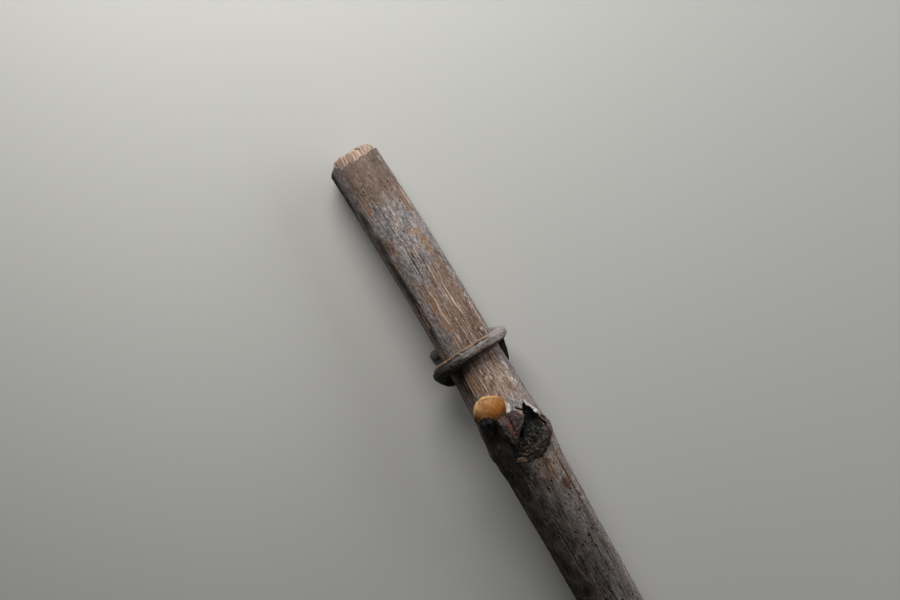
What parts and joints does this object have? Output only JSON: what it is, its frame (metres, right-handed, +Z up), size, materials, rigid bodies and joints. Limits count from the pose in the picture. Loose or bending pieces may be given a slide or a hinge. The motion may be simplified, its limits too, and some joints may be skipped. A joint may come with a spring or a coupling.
{
  "type": "grapevine cane",
  "caption": "Pruned piece of grapevine cane with a woolly winter bud, a torn side shoot base, a leaf scar and a dry tendril wound round it.",
  "frame": {"origin": "on the ground under the middle of the lying cane", "axes": "+X along the cane from its tip cut to its base cut, +Z up from the ground it lies on, +Y to the side on which the tendril's thicker end hangs"},
  "size_m": [0.1134, 0.0152, 0.0181],
  "materials": {
    "bark": "dry weathered bark, matt, fibrous",
    "pith": "dry spongy pith, matt",
    "wool": "matted plant wool, matt",
    "scale": "dry papery bud scale",
    "cork": "crinkled corky tissue, matt",
    "tendril": "weathered woody tendril, matt",
    "strip": "pale dry bark fibre, matt"
  },
  "bodies": {
    "root": {"cane": "bark", "pith_upper": "pith", "pith_lower": "pith", "bud": "wool", "bud_scale_left": "scale", "bud_scale_right": "scale", "side_shoot_base": "cork", "bark_flap": "bark", "leaf_scar": "cork", "tendril": "tendril", "bark_strip_inner": "strip", "bark_strip_outer": "strip"}
  },
  "joints": []
}
